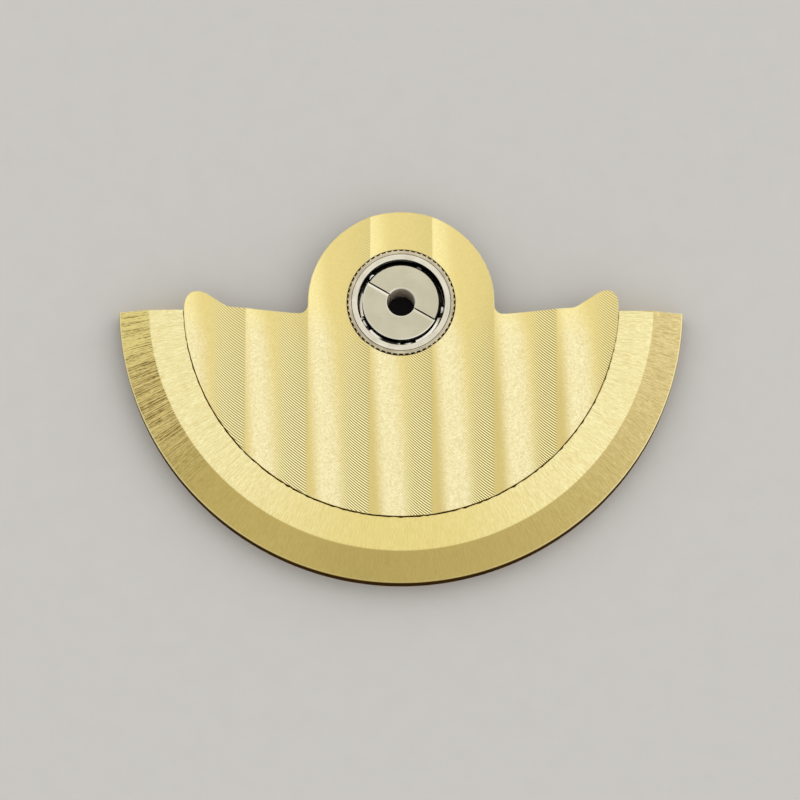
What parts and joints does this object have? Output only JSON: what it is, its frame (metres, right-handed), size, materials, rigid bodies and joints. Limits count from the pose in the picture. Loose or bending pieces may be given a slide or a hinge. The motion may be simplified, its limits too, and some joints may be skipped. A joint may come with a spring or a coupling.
{
  "type": "automatic watch rotor",
  "caption": "Half-ring oscillating weight for an automatic watch: a fluted carrier plate set in a bevelled heavy rim, on a caged ball bearing with a driving gear.",
  "frame": {"origin": "on the bearing's axis, at the underside of the inner race, the face that sits on the movement", "axes": "+Z along the axis towards the show side, -Y towards the middle of the heavy half ring, +X from tip to tip"},
  "size_m": [0.026, 0.0173, 0.0016],
  "materials": {
    "gilt_weight": "satin",
    "gilt_plate": "satin",
    "collar_steel": "satin",
    "gear_steel": "satin",
    "race_steel": "satin",
    "cage_steel": "satin",
    "core_steel": "satin",
    "ball_steel": "polished",
    "screw_steel": "polished",
    "pin_steel": "satin"
  },
  "bodies": {
    "core": {"inner_race_upper_half": "core_steel", "inner_race_lower_half": "core_steel"},
    "rotor": {"heavy_weight": "gilt_weight", "carrier_plate": "gilt_plate", "hub_collar": "collar_steel", "driving_gear": "gear_steel", "outer_race": "race_steel", "weight_screw_1": "screw_steel", "weight_screw_2": "screw_steel", "weight_screw_3": "screw_steel", "weight_screw_4": "screw_steel", "weight_screw_5": "screw_steel", "steady_pin_left": "pin_steel", "steady_pin_right": "pin_steel"},
    "cage": {"ball_cage": "cage_steel"},
    "ball_1": {"bearing_ball_1": "ball_steel"},
    "ball_2": {"bearing_ball_2": "ball_steel"},
    "ball_3": {"bearing_ball_3": "ball_steel"},
    "ball_4": {"bearing_ball_4": "ball_steel"},
    "ball_5": {"bearing_ball_5": "ball_steel"}
  },
  "joints": [
    {"name": "rotor_spin", "type": "hinge", "parent": "core", "child": "rotor", "pos_m": [0, 0, 0], "axis": [0, 0, 1], "continuous": true},
    {"name": "cage_spin", "type": "hinge", "parent": "core", "child": "cage", "pos_m": [0, 0, 0], "axis": [0, 0, 1], "continuous": true},
    {"name": "ball_1_spin", "type": "hinge", "parent": "cage", "child": "ball_1", "pos_m": [0.00082, 0.00171, 0.00102], "axis": [0, 0, 1], "continuous": true},
    {"name": "ball_2_spin", "type": "hinge", "parent": "cage", "child": "ball_2", "pos_m": [-0.00137, 0.00131, 0.00102], "axis": [0, 0, 1], "continuous": true},
    {"name": "ball_3_spin", "type": "hinge", "parent": "cage", "child": "ball_3", "pos_m": [-0.00167, -0.0009, 0.00102], "axis": [0, 0, 1], "continuous": true},
    {"name": "ball_4_spin", "type": "hinge", "parent": "cage", "child": "ball_4", "pos_m": [0.00034, -0.00187, 0.00102], "axis": [0, 0, 1], "continuous": true},
    {"name": "ball_5_spin", "type": "hinge", "parent": "cage", "child": "ball_5", "pos_m": [0.00188, -0.00025, 0.00102], "axis": [0, 0, 1], "continuous": true}
  ],
  "couplings": [
    {"joint": "cage_spin", "follows": "rotor_spin", "ratio": 0.54652},
    {"joint": "ball_1_spin", "follows": "rotor_spin", "ratio": 5.3275},
    {"joint": "ball_2_spin", "follows": "rotor_spin", "ratio": 5.3275},
    {"joint": "ball_3_spin", "follows": "rotor_spin", "ratio": 5.3275},
    {"joint": "ball_4_spin", "follows": "rotor_spin", "ratio": 5.3275},
    {"joint": "ball_5_spin", "follows": "rotor_spin", "ratio": 5.3275}
  ]
}
